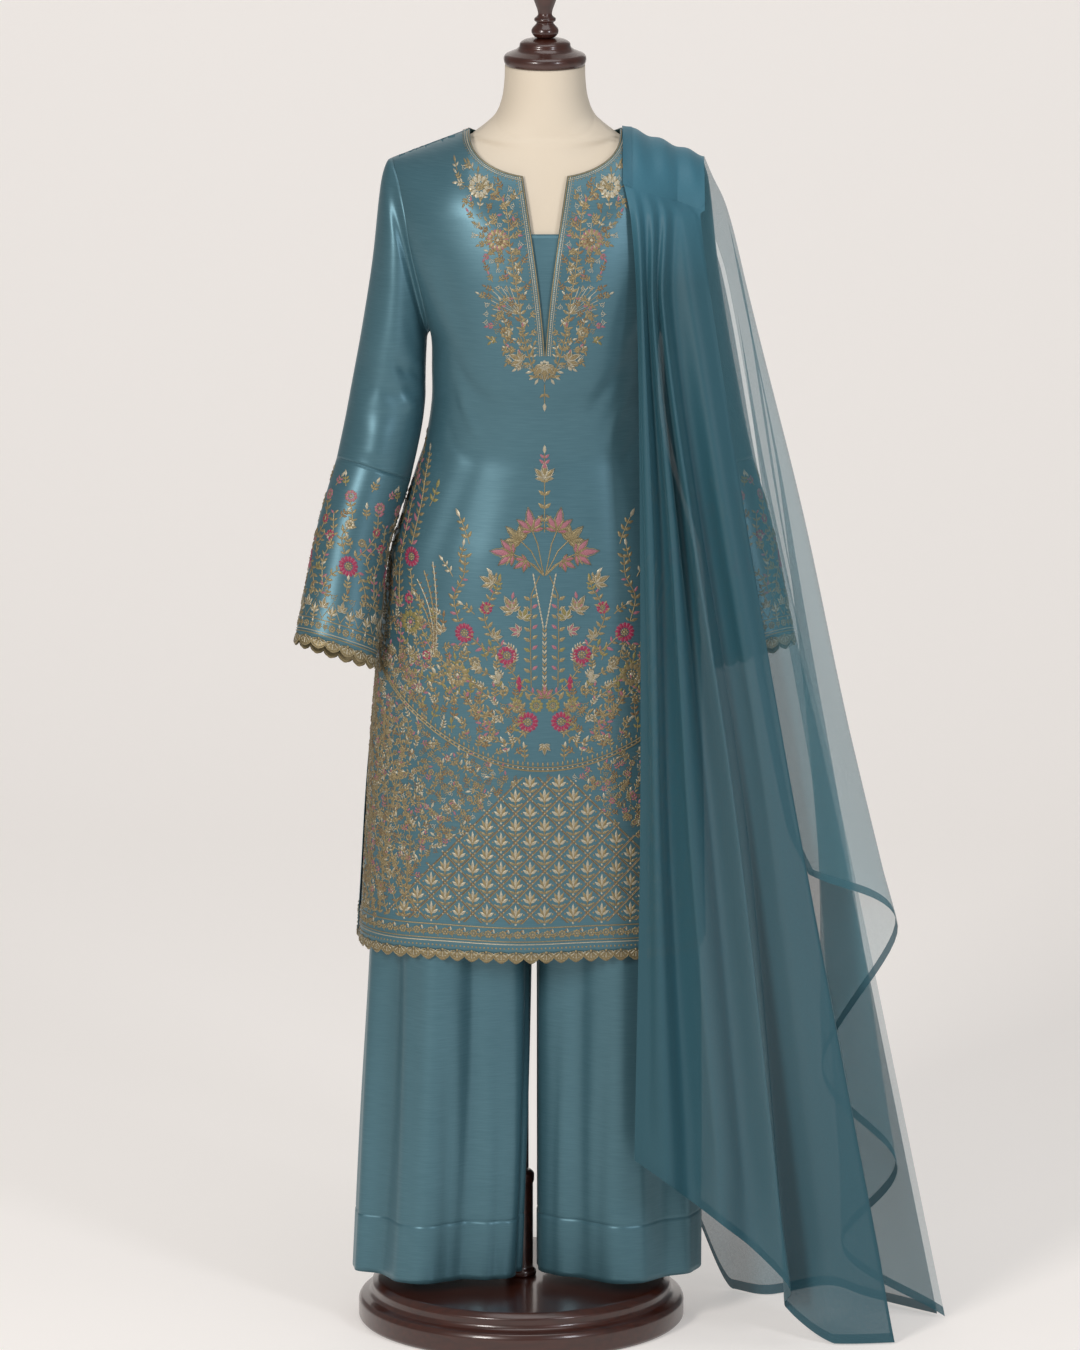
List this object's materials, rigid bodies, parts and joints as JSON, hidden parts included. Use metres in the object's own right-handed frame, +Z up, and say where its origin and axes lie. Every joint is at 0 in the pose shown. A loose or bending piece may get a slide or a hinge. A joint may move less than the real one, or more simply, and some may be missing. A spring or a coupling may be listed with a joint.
{
  "type": "palazzo suit on dress form",
  "caption": "Embroidered long-sleeved kameez, wide palazzo trousers and sheer dupatta, worn by a limbless dress form on a turned wooden stand.",
  "frame": {"origin": "centre of the stand base's underside", "axes": "+Z up, the wearer faces -Y, and the wearer's left is at +X"},
  "size_m": [0.7905, 0.398, 1.6951],
  "materials": {
    "silk": "teal raw silk with a soft sheen, embroidered in gold thread",
    "organza": "sheer teal organza",
    "gold_lace": "champagne gold beaded edging",
    "canvas": "smooth cream jersey over the form",
    "dark_wood": "dark polished lacquer"
  },
  "bodies": {
    "root": {"base": "dark_wood", "pole_lower": "dark_wood", "pole_upper": "dark_wood", "neck_cap": "dark_wood", "finial": "dark_wood", "form_torso": "canvas", "kameez_front": "silk", "kameez_back": "silk", "inset_panel": "silk", "sleeve_right": "silk", "sleeve_left": "silk", "cuff_panel_right": "silk", "cuff_panel_left": "silk", "cuff_edging_right": "gold_lace", "cuff_edging_left": "gold_lace", "hem_edging_front": "gold_lace", "hem_edging_back": "gold_lace", "waistband": "silk", "trouser_right_front": "silk", "trouser_right_back": "silk", "trouser_left_front": "silk", "trouser_left_back": "silk", "dupatta_front": "organza", "dupatta_shoulder": "organza", "dupatta_side": "organza", "dupatta_back": "organza"}
  },
  "joints": []
}
